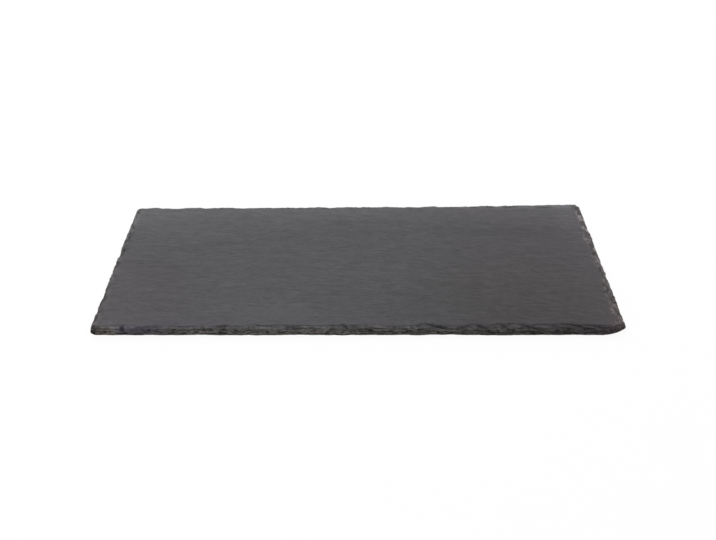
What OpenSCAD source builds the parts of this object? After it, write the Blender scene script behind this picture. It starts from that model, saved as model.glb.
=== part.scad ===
// A slate serving board: a riven slab with chipped, layered edges, on four stick-on rubber feet.
// Lengths are in millimetres. The origin is the middle of the board on the table, X runs left to
// right, Y runs front to back and Z is up.

/* [Slab] */
// Length of the slab, left to right
slab_length = 300; // [220:5:420]
// Width of the slab, front to back
slab_width = 200; // [140:5:300]
// Thickness of the slab
slab_thickness = 5; // [4:0.5:8]
// How far the hand-cut back edge falls short at its left end
back_skew = 6.5; // [0:0.5:10]
// Radius of the front left corner
front_left_radius = 5; // [5:0.5:20]
// Radius of the front right corner, which is knocked off and meets the right end at an angle
front_right_radius = 18; // [5:0.5:20]
// Radius of the back right corner
back_right_radius = 5; // [3:0.5:20]
// Radius of the back left corner
back_left_radius = 4; // [3:0.5:20]

/* [Chipped edge] */
// Layers that the stone splits into at its edge
layers = 8; // [5:1:10]
// Inset of the top face from the cut line along the front
front_bevel = 1.4; // [0.5:0.1:4]
// Inset of the top face from the cut line along the right end
right_bevel = 3.4; // [0.5:0.1:4]
// Inset of the top face from the cut line along the back
back_bevel = 1; // [0.5:0.1:4]
// Inset of the top face from the cut line along the left end
left_bevel = 1.2; // [0.5:0.1:4]
// Mean distance from one chip to the next
chip_pitch = 9; // [6:0.5:20]
// Bite of the deepest small chip
chip_bite = 1.6; // [0.5:0.1:3]
// Bite of the deepest broad chip
nick_bite = 3; // [0.5:0.1:4]
// Bite of the deepest long shallow flake off the top layers
flake_bite = 6.5; // [0.5:0.1:7]
// Mean distance between the teeth of a broken layer
tooth_pitch = 4; // [3:0.5:10]
// Depth of the teeth of a broken layer
tooth_depth = 0.6; // [0.2:0.1:1.2]
// Bite out of the bottom edge
under_bite = 0.7; // [0.2:0.1:1.5]

/* [Feet] */
// Diameter of a rubber foot
foot_diameter = 12; // [8:0.5:20]
// Height of a rubber foot, without its adhesive
foot_height = 1.8; // [1:0.1:4]
// Rounding of a foot's lower rim
foot_rounding = 0.5; // [0.2:0.1:0.8]
// Thickness of the adhesive film on a foot
adhesive_thickness = 0.2; // [0.1:0.05:0.5]
// Distance from a foot's centre to the nearer end of the slab
foot_inset_x = 30; // [20:1:60]
// Distance from a foot's centre to the slab's front or back
foot_inset_y = 30; // [20:1:50]

/* [Hidden] */

slate_colour = [0.34, 0.34, 0.35];
rubber_colour = [0.07, 0.07, 0.07];
adhesive_colour = [0.85, 0.84, 0.78];

// Corners and sides are counted from the front left corner, anticlockwise from above. Side n runs
// from corner n to corner n + 1, so side 0 is the front and side 1 is the right end.
corner_names = ["front_left", "front_right", "back_right", "back_left"];
corner_signs = [[-1, -1], [1, -1], [1, 1], [-1, 1]];
corner_radii = [front_left_radius, front_right_radius, back_right_radius, back_left_radius];
side_bevels = [front_bevel, right_bevel, back_bevel, left_bevel];
quarter_turn = 90;
// How far each corner's arc turns before it meets the next side, in degrees
corner_turns = [quarter_turn, 63, quarter_turn, quarter_turn];

// Distance between the points of an outline, and the points that a rounded corner takes
point_pitch = 2.5;
corner_steps = 5;
// Smallest radius that a corner keeps however far the stone is chipped back
least_radius = 1.5;
// Least width of the ledge that each layer leaves above the one below
least_ledge = 0.08;
// How strongly the bevel curves: 1 is a straight slope
bevel_curve = 2.2;

// The hand-cut line of the back edge: at shares of the length from the left, its share of back_skew
back_line_shares = [
    [0, 1], [0.17, 0.94], [0.36, 0.9], [0.42, 0.68], [0.66, 0.62], [0.8, 0.42], [0.88, 0.08], [1, 0]
];

// Broad chips, side by side: where each lies as a share of its side, how far it reaches to either
// side of there as a share of the same, and its share of nick_bite
nick_shares = [
    [
        [0.063, 0.007, 0.6], [0.25, 0.01, 0.9], [0.305, 0.017, 0.7], [0.45, 0.013, 0.65],
        [0.517, 0.04, 0.9], [0.677, 0.027, 0.4], [0.813, 0.047, 0.7], [0.9, 0.047, 0.8]
    ],
    [
        [0.125, 0.12, 0.9], [0.375, 0.04, 0.4], [0.6, 0.045, 0.5], [0.8, 0.05, 0.4],
        [0.925, 0.04, 0.5]
    ],
    [
        [0.177, 0.02, 0.25], [0.3, 0.02, 0.3], [0.383, 0.047, 0.5], [0.469, 0.009, 0.4],
        [0.496, 0.009, 0.7], [0.617, 0.02, 0.3], [0.913, 0.04, 0.6]
    ],
    [
        [0, 0.05, 0.45], [0.11, 0.03, 0.4], [0.2, 0.025, 0.5], [0.42, 0.035, 0.6],
        [0.49, 0.02, 0.4], [0.75, 0.035, 0.3]
    ]
];
// Long shallow flakes, side by side: where each is deepest as a share of its side, how far it runs
// on from there as a share of the same, and its share of flake_bite
flake_shares = [
    [
        [0.349, 0.05, 0.48], [0.465, 0.017, 0.6], [0.617, 0.053, 0.72], [0.71, 0.03, 0.71],
        [0.755, 0.027, 0.83], [0.783, 0.073, 1], [0.83, 0.133, 0.72], [0.868, 0.12, 0.85],
        [0.91, 0.053, 0.75]
    ],
    [[0.225, 0.07, 0.6], [0.525, 0.06, 0.5], [0.7, 0.06, 0.55]],
    [[0.1, 0.04, 0.3], [0.55, 0.05, 0.35], [0.75, 0.04, 0.3]],
    [[0.3, 0.05, 0.3], [0.62, 0.06, 0.35], [0.93, 0.06, 0.5]]
];
// Share of a flake's run that its steep start takes
flake_start_share = 0.12;
// The two steps of a flake: the share of the thickness above which each comes away, and its share of
// the flake's bite
flake_step_shares = [[0.89, 1], [0.75, 0.55]];

// How chips differ from each other, each as its least and its greatest share: where a chip's centre
// lies in its stretch of edge, how far it reaches along the edge, how deep it bites as a share of
// chip_bite, and how far up the thickness it starts
chip_centre_shares = [0.2, 0.8];
chip_reach_shares = [0.35, 0.95];
chip_bite_shares = [0.15, 1];
chip_foot_shares = [0, 0.7];
// How strongly small chips outnumber big ones: 1 is no more of one than of the other
chip_rarity = 1.5;

// Chances are drawn from a stretched sine. Each place turns it on, and what the chance is drawn for
// turns it on too, so that no two draws at one place are the same.
place_turn = 78.233;
chip_centre_turn = 37.719;
chip_reach_turn = 75.438;
chip_bite_turn = 113.157;
chip_foot_turn = 150.876;
underside_turn = 188.595;
teeth_turn = 226.314;
layer_turn = 37.719;
chance_stretch = 43758.5453;

// Sides of a round piece, and the steps of a foot's rounded rim
round_sides = 96;
rim_steps = 6;

foot_z = 0;
adhesive_z = foot_z + foot_height;
slab_z = adhesive_z + adhesive_thickness;
layer_height = slab_thickness / layers;

// A number from 0 to 1 that looks random but is always the same for the same place and turn
function chance(place, turn) =
    let (value = sin(place * place_turn + turn) * chance_stretch)
    value - floor(value);
function blend(from, to, share) = from + (to - from) * share;
function between(shares, share) = blend(shares[0], shares[1], share);
function eased(share) = share * share * (3 - 2 * share);
function held(value) = min(1, max(0, value));

// A smooth wave of random heights from 0 to 1, with a given number of beats to the round
function wave(share, beats, turn) =
    let (place = share * beats, beat = floor(place))
    blend(chance(beat % beats, turn), chance((beat + 1) % beats, turn), eased(place - beat));

// A corner's run along the side before it, along the side after it, and along its arc
function run_in(corner) = corner_radii[corner] * sin(corner_turns[corner]);
function run_out(corner) = corner_radii[corner] * (1 - cos(corner_turns[corner]));
function arc_run(corner) = corner_radii[corner] * corner_turns[corner] * PI / 180;
function next(side) = (side + 1) % 4;
function side_length(side) = side % 2 == 0 ? slab_length : slab_width;
function side_run(side) = side_length(side) - run_out(side) - run_in(next(side));

// Where each side starts on the way round, counted from the end of the front left corner
function total(list, count) = count == 0 ? 0 : list[count - 1] + total(list, count - 1);
leg_runs = [for (side = [0 : 3]) side_run(side) + arc_run(next(side))];
way_round = total(leg_runs, len(leg_runs));
side_starts = [for (side = [0 : 3]) total(leg_runs, side)];

// The cut line as stations: a side, whether it is on the corner after that side, and how far along
// the side or the corner it is
function side_stations(side) =
    let (steps = ceil(side_run(side) / point_pitch))
    [for (i = [0 : steps - 1]) [side, false, i / steps]];
function corner_stations(side) = [
    for (i = [0 : corner_steps - 1]) [side, true, i / corner_steps]
];
stations = [for (side = [0 : 3]) each concat(side_stations(side), corner_stations(side))];

// How far round a station is, and the same as a share of the whole way
function way(station) =
    let (side = station[0])
    side_starts[side] + (station[1]
        ? side_run(side) + arc_run(next(side)) * station[2]
        : side_run(side) * station[2]);
function way_share(station) = way(station) / way_round;
// How far past a place on a side a station is, going round the shorter way
function past(station, side, place_share) =
    let (
        place = side_starts[side] + side_length(side) * place_share - run_out(side),
        ahead = way(station) - place
    )
    ahead - way_round * round(ahead / way_round);

// The point of a station when the outline there is inset by a given length
function corner_point(corner, inset, turned) =
    let (
        radius = max(corner_radii[corner] - inset, least_radius),
        reach = radius * sin(corner_turns[corner]),
        edge = [slab_length / 2 - inset, slab_width / 2 - inset],
        centre = corner % 2 == 0 ? edge - [radius, reach] : edge - [reach, radius],
        angle = (corner - 2) * quarter_turn + turned
    )
    [corner_signs[corner].x * centre.x, corner_signs[corner].y * centre.y]
        + radius * [cos(angle), sin(angle)];
function station_point(station, inset) =
    let (side = station[0], corner = next(side))
    station[1]
        ? corner_point(corner, inset, corner_turns[corner] * station[2])
        : blend(
            corner_point(side, inset, corner_turns[side]),
            corner_point(corner, inset, 0),
            station[2]
        );

// Chips: a ring of scoops, each with its own centre, reach, bite and foot, of which the deepest counts
chips = round(way_round / chip_pitch);
function chip(share, level, index) =
    let (
        ring_index = (index + chips) % chips,
        centre = index + between(chip_centre_shares, chance(ring_index, chip_centre_turn)),
        reach = between(chip_reach_shares, chance(ring_index, chip_reach_turn)),
        rarity = pow(chance(ring_index, chip_bite_turn), chip_rarity),
        bite = chip_bite * between(chip_bite_shares, rarity),
        foot = between(chip_foot_shares, chance(ring_index, chip_foot_turn)),
        across = (share * chips - centre) / reach
    )
    bite * max(0, 1 - across * across) * held((level - foot) / (1 - foot));
function chipped(share, level) =
    let (index = floor(share * chips))
    max([for (near = [-1 : 1]) chip(share, level, index + near)]);

// Broad chips: a scoop at each place, which fades towards the bottom of the slab
function nicked(station, level) = max([
    for (side = [0 : 3])
        for (nick = nick_shares[side])
            let (across = past(station, side, nick[0]) / (side_length(side) * nick[1]))
            nick_bite * nick[2] * max(0, 1 - across * across) * level
]);

// Flakes: a steep start and a long run out, on the upper layers alone
function flake_reach(level) =
    flake_bite * max([0, for (step = flake_step_shares) if (level >= step[0]) step[1]]);
function flaked(station, level) =
    flake_reach(level) == 0 ? 0 : max([
        for (side = [0 : 3])
            for (flake = flake_shares[side])
                let (along = past(station, side, flake[0]) / (side_length(side) * flake[1]))
                flake_reach(level) * flake[2] * (along < 0
                    ? held(1 + along / flake_start_share)
                    : held(1 - along))
    ]);

// Inset of a layer's broken edge at a station. Layer 1 is the widest: above it each layer steps
// back behind the last, and layer 0 has lost its lower arris.
function bevel_at(station) =
    let (side = station[0])
    station[1]
        ? blend(side_bevels[side], side_bevels[next(side)], station[2])
        : side_bevels[side];
teeth = round(way_round / tooth_pitch);
function raw_inset(station, layer) =
    let (
        share = way_share(station),
        level = max(0, layer - 1) / (layers - 2),
        chipping = max(chipped(share, level), nicked(station, level), flaked(station, level))
    )
    bevel_at(station) * pow(level, bevel_curve) + chipping
        + tooth_depth * wave(share, teeth, teeth_turn + layer * layer_turn);
function layer_inset(station, layer) =
    layer == 0
        ? layer_inset(station, 1) + least_ledge
            + under_bite * wave(way_share(station), chips, underside_turn)
        : layer == 1
            ? raw_inset(station, layer)
            : max(raw_inset(station, layer), layer_inset(station, layer - 1) + least_ledge);

// The back edge isn't square: its hand-cut line falls short towards its left end
function back_shortfall(rightward) =
    back_skew * lookup(rightward, back_line_shares);
function skewed(point) =
    let (
        rightward = held(point.x / slab_length + 1 / 2),
        backward = point.y / slab_width + 1 / 2
    )
    [point.x, point.y - back_shortfall(rightward) * backward];
function layer_outline(layer) = [
    for (station = stations) skewed(station_point(station, layer_inset(station, layer)))
];

// Every outline is fitted so that the widest layer has exactly the slab's length and width
widest = layer_outline(1);
low = [min([for (point = widest) point.x]), min([for (point = widest) point.y])];
high = [max([for (point = widest) point.x]), max([for (point = widest) point.y])];
fit = [slab_length / (high.x - low.x), slab_width / (high.y - low.y)];
middle = (low + high) / 2;
function fitted(outline) = [
    for (point = outline) [(point.x - middle.x) * fit.x, (point.y - middle.y) * fit.y]
];

module slate_slab() {
    color(slate_colour)
        translate([0, 0, slab_z])
            for (layer = [0 : layers - 1])
                translate([0, 0, layer * layer_height])
                    linear_extrude(layer_height)
                        polygon(fitted(layer_outline(layer)));
}

// The middle of the foot near a corner
function foot_place(corner_name) =
    let (signs = corner_signs[search([corner_name], corner_names)[0]])
    [signs.x * (slab_length / 2 - foot_inset_x), signs.y * (slab_width / 2 - foot_inset_y)];

// A moulded disc with a rounded lower rim
module rubber_foot(corner_name) {
    rim = [
        for (i = [0 : rim_steps])
            let (angle = quarter_turn * i / rim_steps)
            [
                foot_diameter / 2 - foot_rounding * (1 - sin(angle)),
                foot_rounding * (1 - cos(angle))
            ]
    ];
    color(rubber_colour)
        translate([foot_place(corner_name).x, foot_place(corner_name).y, foot_z])
            rotate_extrude($fn = round_sides)
                polygon(concat([[0, 0]], rim, [[foot_diameter / 2, foot_height], [0, foot_height]]));
}

// The film of adhesive between a foot and the slab, die-cut with the foot
module adhesive(corner_name) {
    color(adhesive_colour)
        translate([foot_place(corner_name).x, foot_place(corner_name).y, adhesive_z])
            cylinder(d = foot_diameter, h = adhesive_thickness, $fn = round_sides);
}

slate_slab();
rubber_foot("front_left");  // rubber_foot_front_left
rubber_foot("front_right");  // rubber_foot_front_right
rubber_foot("back_right");  // rubber_foot_back_right
rubber_foot("back_left");  // rubber_foot_back_left
adhesive("front_left");  // adhesive_front_left
adhesive("front_right");  // adhesive_front_right
adhesive("back_right");  // adhesive_back_right
adhesive("back_left");  // adhesive_back_left
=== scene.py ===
"""A slate serving board: riven stone with hammer-dressed edges on four stick-on rubber feet.

Lengths are in metres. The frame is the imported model's: the origin is the middle of the board on the
table, X runs left to right, Y runs front to back and Z is up.
"""
import math

import bpy
import numpy as np
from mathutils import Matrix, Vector


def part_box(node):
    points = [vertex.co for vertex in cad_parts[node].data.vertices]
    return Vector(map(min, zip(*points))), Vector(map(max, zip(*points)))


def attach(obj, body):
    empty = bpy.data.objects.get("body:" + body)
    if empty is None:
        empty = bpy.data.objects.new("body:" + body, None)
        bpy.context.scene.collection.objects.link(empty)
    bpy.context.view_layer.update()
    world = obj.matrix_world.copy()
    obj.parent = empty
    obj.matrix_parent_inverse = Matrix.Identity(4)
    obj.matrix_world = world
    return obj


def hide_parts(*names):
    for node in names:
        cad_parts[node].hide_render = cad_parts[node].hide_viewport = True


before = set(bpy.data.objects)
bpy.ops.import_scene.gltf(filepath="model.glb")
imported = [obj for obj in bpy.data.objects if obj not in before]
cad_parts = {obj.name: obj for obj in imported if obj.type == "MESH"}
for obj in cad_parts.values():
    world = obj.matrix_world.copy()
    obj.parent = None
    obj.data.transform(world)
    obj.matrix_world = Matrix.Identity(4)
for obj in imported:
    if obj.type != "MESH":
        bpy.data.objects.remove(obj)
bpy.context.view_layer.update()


# Camera. It stands in front of the board and looks down on it at the photograph's angle. Its lens,
# height and distance were fitted to the outline of the slab in the photograph's 716 x 540 frame.

PICTURE_WIDTH = 716
FOCAL_PIXELS = 1504.6
SENSOR_WIDTH = 36.0
CAMERA_PLACE = (-0.0005, -0.8557, 0.3557)
CAMERA_DIP = math.radians(22.580)

lens = bpy.data.cameras.new("camera")
lens.sensor_fit = "HORIZONTAL"
lens.sensor_width = SENSOR_WIDTH
lens.lens = FOCAL_PIXELS / PICTURE_WIDTH * SENSOR_WIDTH
camera = bpy.data.objects.new("camera", lens)
camera.location = CAMERA_PLACE
camera.rotation_euler = (math.pi / 2 - CAMERA_DIP, 0, 0)
bpy.context.scene.collection.objects.link(camera)
bpy.context.scene.camera = camera


# Slate slab. One slab of natural slate. Its faces are where the stone was split, so they ripple
# gently, and its edges were dressed with a hammer, which leaves chips and broken layers all round.
# The feet are stuck under it.

slab_low, slab_high = (np.array(corner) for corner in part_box("slate_slab"))
slab_size = slab_high - slab_low

# Sides and corners are counted from the front left corner, anticlockwise from above: side 0 is the
# front and runs from corner 0 to corner 1. Heights in the edge are levels, from 0 at the underside to
# 1 at the top face.
CORNER_SIGNS = np.array([[-1, -1], [1, -1], [1, 1], [-1, 1]])
CORNER_RADII = np.array([0.005, 0.018, 0.0035, 0.006])
# The radius that a corner keeps however far it is chipped back
LEAST_RADIUS = 0.0015
# How far each corner's arc turns: the front right one is knocked off and meets the right end in a kink
CORNER_TURNS = np.radians([90, 63, 90, 90])
# How far the top stands back from the cut line on each side, the power of the level with which it
# does so, and how late round a corner one side's bevel changes to the next one's
SIDE_BEVELS = np.array([0.0014, 0.0034, 0.0010, 0.0012])
BEVEL_CURVE = 2.2
BEVEL_EASE = 3

# The hand-cut line of the back: shares of the length from the left, and the shares of the skew there
BACK_SKEW = 0.0065
BACK_LINE_PLACES = (0, 0.17, 0.36, 0.42, 0.66, 0.80, 0.88, 1)
BACK_LINE_SHARES = (1, 0.94, 0.90, 0.68, 0.62, 0.42, 0.08, 0)

# Small chips lie by chance, one to each pitch: its centre within that stretch, its reach, its share of
# the bite and the level of its foot each lie in a range. Spalls are smaller ones.
CHIP_PITCH = 0.009
CHIP_BITE = 0.0016
CHIP_CENTRE_SHARES = (0.2, 0.8)
CHIP_REACH_SHARES = (0.35, 0.95)
CHIP_BITE_SHARES = (0.15, 1.0)
CHIP_FOOT_SHARES = (0.0, 0.7)
CHIP_RARITY = 1.5
SPALL_PITCH = 0.0026
SPALL_BITE = 0.0008

# Broad chips, side by side: the place and the reach of each as shares of its side, and its share of
# the bite
NICK_BITE = 0.003
NICK_SHARES = (
    ((0.063, 0.007, 0.6), (0.25, 0.01, 0.9), (0.305, 0.017, 0.7), (0.45, 0.013, 0.65),
     (0.517, 0.04, 0.9), (0.677, 0.027, 0.4), (0.813, 0.047, 0.7), (0.9, 0.047, 0.8)),
    ((0.125, 0.12, 0.9), (0.375, 0.04, 0.4), (0.6, 0.045, 0.5), (0.8, 0.05, 0.4),
     (0.925, 0.04, 0.5)),
    ((0.177, 0.02, 0.25), (0.3, 0.02, 0.3), (0.383, 0.047, 0.5), (0.469, 0.009, 0.4),
     (0.496, 0.009, 0.7), (0.617, 0.02, 0.3), (0.913, 0.04, 0.6)),
    ((0.0, 0.05, 0.45), (0.11, 0.03, 0.4), (0.13, 0.15, 0.25), (0.2, 0.025, 0.5),
     (0.42, 0.035, 0.6), (0.49, 0.02, 0.4), (0.75, 0.035, 0.3)),
)
# Long shallow flakes, side by side: where each is deepest and how far it runs on, as shares of its
# side, and its share of the bite
FLAKE_BITE = 0.0065
FLAKE_SHARES = (
    ((0.349, 0.05, 0.48), (0.465, 0.017, 0.6), (0.617, 0.053, 0.72), (0.71, 0.03, 0.71),
     (0.755, 0.027, 0.74), (0.783, 0.060, 0.84), (0.83, 0.09, 0.58), (0.87, 0.09, 0.66),
     (0.918, 0.06, 0.45)),
    ((0.225, 0.07, 0.45), (0.525, 0.06, 0.35), (0.7, 0.06, 0.4)),
    ((0.1, 0.04, 0.3), (0.55, 0.05, 0.35), (0.75, 0.04, 0.3)),
    ((0.3, 0.05, 0.3), (0.62, 0.06, 0.35), (0.93, 0.06, 0.2)),
)
# The two steps of a flake: the lowest level each takes, and the share of the run where it starts
FLAKE_STEPS = ((0.84, 0.0), (0.66, 0.4))
# Shares of a flake's run: on each side the steep start before its deepest point, and past that point
# the stretch in which its riser grows to its full height
FLAKE_START_SHARES = (0.2, 0.6, 0.4, 0.5)
FLAKE_RUN_IN = 0.3
# The depth from which a flake leaves a full scar, how much of its riser is feathered away where it
# starts, and how far its riser is undercut on each side
SCAR_DEPTH = 0.0015
FEATHER_SHARE = 0.9
FLAKE_UNDERCUT = 0.0006
FLAKE_UNDERCUT_SHARES = np.array([1.0, 0.0, 0.2, 0.0])

# Teeth and grain run along every layer, and the teeth are deeper towards the top on some sides
TOOTH_PITCH = 0.004
TOOTH_DEPTH = 0.0006
TOP_TOOTH_DEPTHS = np.array([0.0006, 0.0013, 0.0013, 0.0011])
TOOTH_LAYERS = 8
GRAIN_PITCH = 0.0011
GRAIN_DEPTH = 0.00022
# Here and there a layer has peeled back where a wave passes a threshold, or is pitted where one rises
# from one level to another
PEEL_PITCH = 0.007
PEEL_DEPTH = 0.0009
PEEL_THRESHOLD = 0.62
PIT_PITCH = 0.0022
PIT_CLUSTER_PITCH = 0.011
PIT_CLUSTER_SHARE = 0.5
PIT_DEPTH = 0.0009
PIT_LEVELS = (0.92, 1.08)
# The underside is broken back from the lowest layer by this bite times a chance, and a least share of
# it more, from this height down
UNDER_BITE = 0.0007
UNDER_BITE_LEAST = 0.25
UNDER_RISE = 0.00035

# The layers that show at the edge, as shares of the thickness from the top down. Flakes take the
# first two together, and the next two less far.
LAYER_SHARES = np.array([0.06, 0.09, 0.07, 0.10, 0.06, 0.10, 0.07, 0.12, 0.08, 0.12, 0.13])
FLAKE_LAYERS = 4
LAYER_WANDER_SHARE = 0.6
LAYER_WANDER_PITCH = 0.021
LEDGE_DROP = 0.00003
LEAN_PITCH = 0.006
LEAN_RANGE = (-0.00035, 0.0002)

# How far each place, row and kind turns the sine that chances are drawn from, and the kinds of what
# is drawn
PLACE_TURN = 78.233
ROW_TURN = 23.117
KIND_TURN = 37.719
CHANCE_STRETCH = 43758.5453
CHIP_CENTRE, CHIP_REACH, CHIP_BITE_DRAW, CHIP_FOOT, UNDERSIDE, TEETH = 1, 2, 3, 4, 5, 6
SPALLS, GRAIN, WAISTS, PEELS, PITS, PIT_CLUSTERS = 30, 50, 70, 90, 110, 130
LEANS, WANDER, RELIEF, UNDER_RELIEF = 150, 170, 190, 200

# Cells of the top face along X and along Y. The edge has four columns to each cell of the top face's
# rim, and the underside has one cell to two.
CELLS_X, CELLS_Y = 150, 100
COLUMNS_TO_A_CELL = 4


def chance(place, kind, row=0.0):
    """The fractional part of a stretched sine of the place: from 0 to 1, and always the same."""
    turn = np.radians(place * PLACE_TURN + row * ROW_TURN + kind * KIND_TURN)
    value = np.sin(turn) * CHANCE_STRETCH
    return value - np.floor(value)


def eased(share):
    """Smoothstep: three times the square less twice the cube."""
    return share * share * (3 - 2 * share)


def blend(ends, share):
    """A straight blend from the first of two ends to the second."""
    return ends[0] + (ends[1] - ends[0]) * share


def faded(value, start, end):
    """An eased ramp from 0 at the start to 1 at the end."""
    return eased(np.clip((value - start) / (end - start), 0, 1))


# The cut line, as eight legs: each side and the corner after it
side_lengths = slab_size[[0, 1, 0, 1]]
corner_arcs = CORNER_RADII * CORNER_TURNS
runs_in = CORNER_RADII * np.sin(CORNER_TURNS)
runs_out = CORNER_RADII * (1 - np.cos(CORNER_TURNS))
side_runs = side_lengths - runs_out - np.roll(runs_in, -1)
leg_runs = np.stack([side_runs, np.roll(corner_arcs, -1)], -1).ravel()
leg_starts = np.concatenate([[0], np.cumsum(leg_runs)])
way_round = leg_starts[-1]

# Columns run from a point on one corner to a point on the next, alike within a side. That point is
# the middle of the corner's arc, and the kink where there is one.
CORNER_SPLITS = np.array([0.5, 1.0, 0.5, 0.5])
corner_legs = (2 * np.arange(4) - 1) % 8
splits = leg_starts[corner_legs] + CORNER_SPLITS * corner_arcs
ways = np.concatenate([
    np.linspace(
        splits[side] - way_round * (side == 0),
        splits[(side + 1) % 4],
        COLUMNS_TO_A_CELL * (CELLS_X, CELLS_Y)[side % 2],
        endpoint=False,
    )
    for side in range(4)
]) % way_round
shares = ways / way_round
legs = np.clip(np.searchsorted(leg_starts, ways, side="right") - 1, 0, 7)
leg_parts = (ways - leg_starts[legs]) / leg_runs[legs]
sides = legs // 2
nexts = (sides + 1) % 4
on_corner = legs % 2 == 1
columns = len(ways)


def by_side(values, ease=1):
    """A value for each side, held along it and blended round the corner to the next."""
    share = on_corner * leg_parts ** ease
    return values[sides] + (values[nexts] - values[sides]) * share


bevels = by_side(SIDE_BEVELS, BEVEL_EASE)
top_tooth_depths = by_side(TOP_TOOTH_DEPTHS)


def wave(pitch, kind):
    """A ring of chances round the cut line, one to each beat, eased from one to the next."""
    beats = round(way_round / pitch)
    beat = np.floor(shares * beats)
    first = chance(beat % beats, kind)
    second = chance((beat + 1) % beats, kind)
    return first + (second - first) * eased(shares * beats - beat)


def scooped(pitch, bite, level, kind):
    """Chips: to each stretch of edge a parabola across and a ramp upwards, and the deepest counts."""
    count = round(way_round / pitch)
    stretch = np.floor(shares * count)
    deepest = np.zeros(columns)
    for near in (-1, 0, 1):
        index = (stretch + near) % count
        centre = stretch + near + blend(CHIP_CENTRE_SHARES, chance(index, kind + CHIP_CENTRE))
        reach = blend(CHIP_REACH_SHARES, chance(index, kind + CHIP_REACH))
        rarity = chance(index, kind + CHIP_BITE_DRAW) ** CHIP_RARITY
        foot = blend(CHIP_FOOT_SHARES, chance(index, kind + CHIP_FOOT))
        across = (shares * count - centre) / reach
        climb = np.clip((level - foot) / (1 - foot), 0, 1)
        scoop = bite * blend(CHIP_BITE_SHARES, rarity) * np.maximum(0, 1 - across ** 2) * climb
        deepest = np.maximum(deepest, scoop)
    return deepest


def way_to(side, share):
    """The way along the cut line to a place on a side."""
    return leg_starts[2 * side] + side_lengths[side] * share - runs_out[side]


def past(side, share):
    """How far each column is past a place on a side, going round the shorter way."""
    ahead = ways - way_to(side, share)
    return ahead - way_round * np.round(ahead / way_round)


def nicked(level):
    """Broad chips: a parabola across each, as deep as the level is high."""
    deepest = np.zeros(columns)
    for side, nicks in enumerate(NICK_SHARES):
        for place, reach, part in nicks:
            across = past(side, place) / (side_lengths[side] * reach)
            deepest = np.maximum(deepest, NICK_BITE * part * np.maximum(0, 1 - across ** 2) * level)
    return deepest


def flakes_at(level):
    """Flakes off the top layers in two steps: a steep start, then a straight run out along the edge.
    Gives how deep the deepest is, and how far it is into its run out, up to 1."""
    deepest, running = np.zeros(columns), np.zeros(columns)
    starts = [start for floor, start in FLAKE_STEPS if level >= floor]
    if not starts:
        return deepest, running
    for side, flakes in enumerate(FLAKE_SHARES):
        for place, run, part in flakes:
            along = past(side, place) / (side_lengths[side] * run)
            ahead = along - starts[0]
            rise = (1 - starts[0]) * np.clip(1 + ahead / FLAKE_START_SHARES[side], 0, 1)
            depth = FLAKE_BITE * part * np.where(ahead < 0, rise, np.clip(1 - along, 0, 1))
            running = np.where(depth > deepest, np.clip(ahead / FLAKE_RUN_IN, 0, 1), running)
            deepest = np.maximum(deepest, depth)
    return deepest, running


def broken_inset(layer, level):
    """How far a layer stands back from the cut line: its bevel, the deepest of its chips, nicks and
    flakes, and on top of these its spalls, teeth, peeled stretches and grain."""
    chipping = np.maximum(scooped(CHIP_PITCH, CHIP_BITE, level, 0), nicked(level))
    chipping = np.maximum(chipping, flakes_at(level)[0])
    spalls = scooped(SPALL_PITCH, SPALL_BITE, level, SPALLS)
    tooth_depth = TOOTH_DEPTH + (top_tooth_depths - TOOTH_DEPTH) * level
    teeth = tooth_depth * wave(TOOTH_PITCH, TEETH + min(int(level * TOOTH_LAYERS), TOOTH_LAYERS - 1))
    grain = GRAIN_DEPTH * wave(GRAIN_PITCH, GRAIN + layer)
    peel = PEEL_DEPTH * np.clip(wave(PEEL_PITCH, PEELS + layer) - PEEL_THRESHOLD, 0, 1)
    return bevels * level ** BEVEL_CURVE + chipping + spalls + teeth + grain + peel


def pitted(layer):
    """Pits broken out of one layer alone: a ramp of a fast wave and a share of a slow one."""
    cluster = wave(PIT_CLUSTER_PITCH, PIT_CLUSTERS + layer)
    return PIT_DEPTH * faded(wave(PIT_PITCH, PITS + layer) + PIT_CLUSTER_SHARE * cluster, *PIT_LEVELS)


def corner_points(corner, inset, turned):
    """Points of corner arcs at an inset: a centre as far in as the inset and the arc's reach, and a
    spoke from it at the angle turned."""
    radius = np.maximum(CORNER_RADII[corner] - inset, LEAST_RADIUS)
    reach = radius * np.sin(CORNER_TURNS[corner])
    even = corner % 2 == 0
    along_x = slab_size[0] / 2 - inset - np.where(even, radius, reach)
    along_y = slab_size[1] / 2 - inset - np.where(even, reach, radius)
    angle = (corner - 2) * math.pi / 2 + turned
    x = CORNER_SIGNS[corner, 0] * along_x + radius * np.cos(angle)
    y = CORNER_SIGNS[corner, 1] * along_y + radius * np.sin(angle)
    return np.stack([x, y], -1)


def cut_points(inset):
    """Points of the cut line at an inset: corner arcs, straight sides between them, and the back's
    shortfall, which fades to nothing at the front."""
    arc_points = corner_points(nexts, inset, CORNER_TURNS[nexts] * leg_parts)
    first = corner_points(sides, inset, CORNER_TURNS[sides])
    second = corner_points(nexts, inset, 0)
    side_points = first + (second - first) * leg_parts[:, None]
    points = np.where(on_corner[:, None], arc_points, side_points)
    rightward = points[:, 0] / slab_size[0] + 0.5
    backward = points[:, 1] / slab_size[1] + 0.5
    shortfall = BACK_SKEW * np.interp(rightward, BACK_LINE_PLACES, BACK_LINE_SHARES)
    points[:, 1] -= shortfall * backward
    return points


# Insets from the lowest layer up, so that no layer stands out past the one below but for its pits
layer_count = len(LAYER_SHARES)
layer_floors = np.maximum(1 - np.cumsum(LAYER_SHARES), 0)
insets = [None] * layer_count
below = np.zeros(columns)
for layer in reversed(range(layer_count)):
    insets[layer] = np.maximum(broken_inset(layer, layer_floors[layer]), below)
    below = insets[layer]
widest = cut_points(insets[-1])
widest_low, widest_high = widest.min(0), widest.max(0)


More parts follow.
